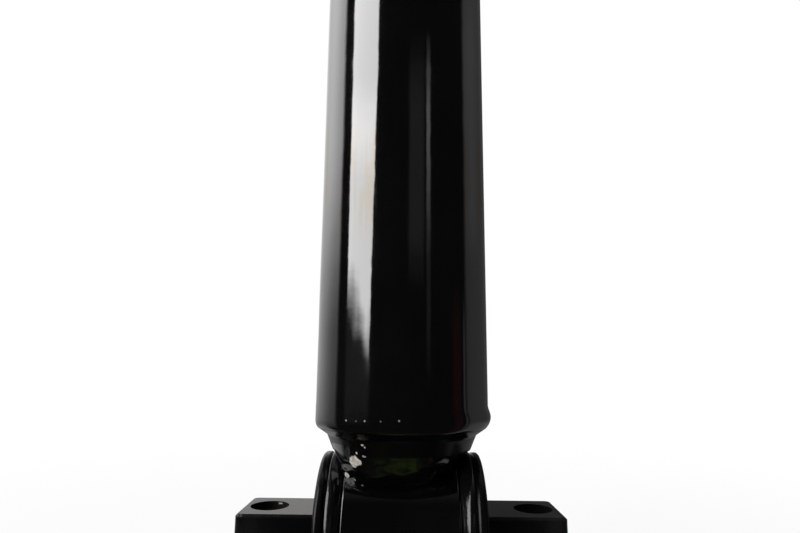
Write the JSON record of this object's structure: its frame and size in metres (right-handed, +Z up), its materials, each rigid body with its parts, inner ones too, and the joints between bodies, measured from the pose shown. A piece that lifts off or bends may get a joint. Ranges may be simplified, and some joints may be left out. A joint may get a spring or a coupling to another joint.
{
  "type": "shock absorber",
  "caption": "Telescopic twin-tube shock absorber in gloss black with a bar pin lower mount, a threaded stem top mount and a dust cover.",
  "frame": {"origin": "centre of the bar pin's lower face, midway between the two bolt holes", "axes": "+Z up the tube to the stem, X along the bar pin from hole to hole, Y across it"},
  "size_m": [0.091, 0.0612, 0.4912],
  "materials": {
    "black_paint": "gloss",
    "pin_paint": "satin",
    "rubber": "satin",
    "chrome": "mirror",
    "steel": "satin",
    "zinc": "satin",
    "sintered": "matt",
    "band": "satin",
    "bronze": "satin",
    "bumper": "satin"
  },
  "bodies": {
    "lower_mount": {"bar_pin": "pin_paint", "bush_washer_left": "black_paint", "bush_washer_right": "black_paint"},
    "cylinder": {"bush_rubber": "rubber", "eye_ring": "black_paint", "base_cap": "black_paint", "eye_weld": "black_paint", "base_seam_weld": "black_paint", "reserve_tube": "black_paint", "pressure_tube": "steel", "foot_valve_body": "sintered", "foot_valve_pin": "steel", "foot_bleed_disc": "steel", "foot_check_spring": "steel", "rod_guide": "sintered", "guide_bush": "bronze", "seal_backing_washer": "zinc", "guide_o_ring": "rubber", "rod_seal": "rubber", "seal_garter_spring": "steel"},
    "foot_check": {"foot_check_disc": "steel"},
    "band": {"piston_band": "band"},
    "rod": {"piston_rod": "chrome", "piston_body": "sintered", "piston_check_spring": "steel", "piston_backing_washer": "steel", "piston_nut": "zinc", "rebound_spring": "steel", "rebound_stop": "steel", "rebound_bumper": "bumper", "dust_cover": "black_paint", "dust_cover_cap": "black_paint", "stem_washer_lower": "zinc", "stem_washer_upper": "zinc", "grommet_lower": "rubber", "grommet_upper": "rubber", "stem_nut": "zinc"},
    "piston_check": {"piston_check_disc": "steel"},
    "rebound_valve": {"rebound_valve_disc": "steel", "rebound_spring_seat": "steel"}
  },
  "joints": [
    {"name": "eye_swing", "type": "hinge", "parent": "lower_mount", "child": "cylinder", "pos_m": [0, 0, 0.006], "axis": [1, 0, 0], "range_deg": [-20, 20], "stiffness_Nm_per_rad": 57},
    {"name": "rod_slide", "type": "slide", "parent": "cylinder", "child": "band", "axis": [0, 0, 1], "range_m": [-0.12, 0], "stiffness_N_per_m": 300, "springref_m": 0.5},
    {"name": "rod_turn", "type": "hinge", "parent": "band", "child": "rod", "pos_m": [0, 0, 0.2], "axis": [0, 0, 1], "continuous": true},
    {"name": "foot_check_lift", "type": "slide", "parent": "cylinder", "child": "foot_check", "axis": [0, 0, 1], "range_m": [0, 0.0008], "stiffness_N_per_m": 1500, "springref_m": -0.002, "deforming": ["foot_check_spring"]},
    {"name": "piston_check_lift", "type": "slide", "parent": "rod", "child": "piston_check", "axis": [0, 0, 1], "range_m": [0, 0.0008], "stiffness_N_per_m": 1500, "springref_m": -0.002, "deforming": ["piston_check_spring"]},
    {"name": "rebound_valve_lift", "type": "slide", "parent": "rod", "child": "rebound_valve", "axis": [0, 0, -1], "range_m": [0, 0.001], "stiffness_N_per_m": 20000, "springref_m": -0.003, "deforming": ["rebound_spring"]}
  ]
}
